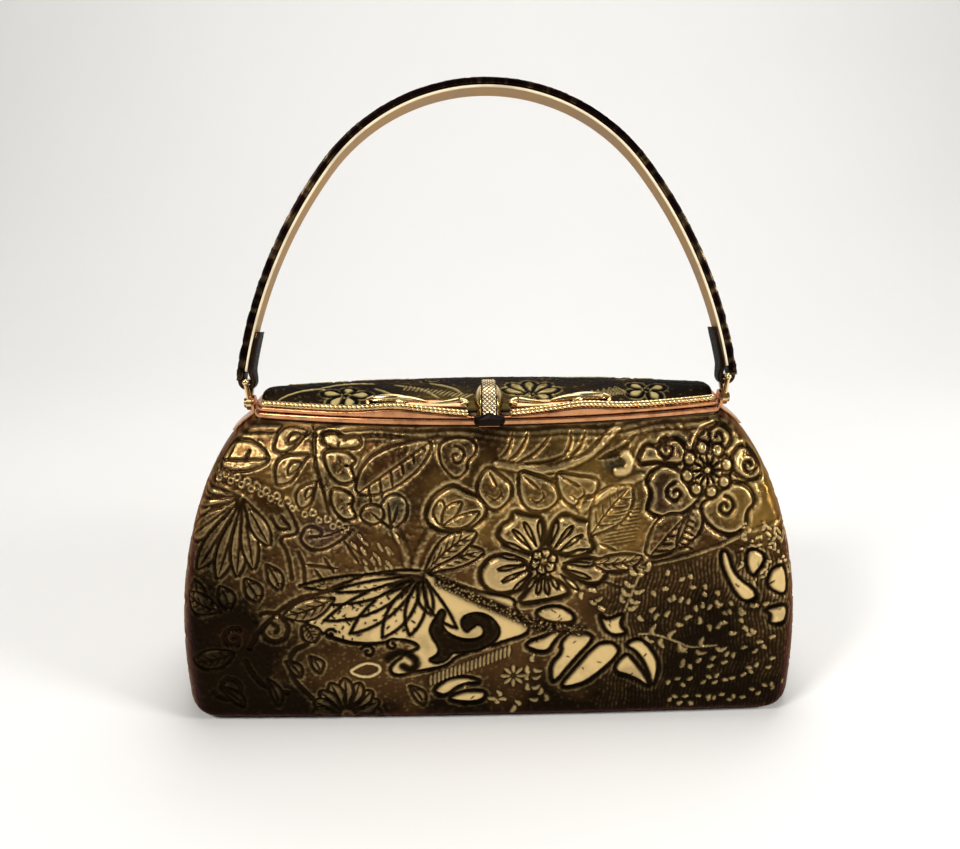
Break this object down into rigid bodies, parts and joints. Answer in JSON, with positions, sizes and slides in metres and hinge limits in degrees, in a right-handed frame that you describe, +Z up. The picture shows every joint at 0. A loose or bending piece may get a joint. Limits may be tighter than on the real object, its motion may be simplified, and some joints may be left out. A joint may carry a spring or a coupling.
{
  "type": "frame handbag with top handle",
  "caption": "Small stiff handbag in tooled leather with a domed hinged lid, lever clasp, metal mouth frame and a rigid arched strap handle on swinging links.",
  "frame": {"origin": "middle of the base, on the surface the bag stands on", "axes": "+X to the right seen from the front, -Y the front, +Z up"},
  "size_m": [0.264, 0.0853, 0.2513],
  "materials": {
    "tooled_leather": "tooled, rubbed with gold",
    "base_leather": "smooth",
    "board": "fibre board",
    "lining": "woven",
    "rose_metal": "polished",
    "gold_metal": "polished",
    "dark_stone": "cut and polished",
    "handle_leather": "tooled",
    "handle_band": "smooth"
  },
  "bodies": {
    "bag": {"front_leather": "tooled_leather", "back_leather": "tooled_leather", "base_leather": "base_leather", "body_board": "board", "lining": "lining", "mouth_frame": "rose_metal", "end_plate_left": "rose_metal", "end_plate_right": "rose_metal", "link_pin_left": "gold_metal", "link_pin_right": "gold_metal", "clasp_catch": "rose_metal", "hinge_leaf_body": "rose_metal", "hinge_pin": "gold_metal"},
    "lid": {"lid_rim": "rose_metal", "lid_board": "board", "lid_lining": "lining", "lid_leather": "tooled_leather", "rope_trim_left": "gold_metal", "rope_trim_right": "gold_metal", "flourish_left": "gold_metal", "flourish_right": "gold_metal", "hinge_leaf_lid": "rose_metal", "clasp_housing": "gold_metal", "clasp_pin": "gold_metal"},
    "clasp": {"clasp_lever": "gold_metal", "clasp_nose": "dark_stone"},
    "handle": {"link_left": "gold_metal", "link_right": "gold_metal", "handle_leather": "handle_leather", "handle_band": "handle_band"}
  },
  "joints": [
    {"name": "lid_hinge", "type": "hinge", "parent": "bag", "child": "lid", "pos_m": [0, 0.0242, 0.12715], "axis": [-1, 0, 0], "range_deg": [0, 100]},
    {"name": "clasp_lever_pivot", "type": "hinge", "parent": "lid", "child": "clasp", "pos_m": [0, -0.0132, 0.1294], "axis": [-1, 0, 0], "range_deg": [0, 20], "stiffness_Nm_per_rad": 0.02, "springref_deg": -5.73},
    {"name": "handle_swing", "type": "hinge", "parent": "bag", "child": "handle", "pos_m": [0, 0, 0.1275], "axis": [-1, 0, 0], "range_deg": [-90, 60]}
  ]
}
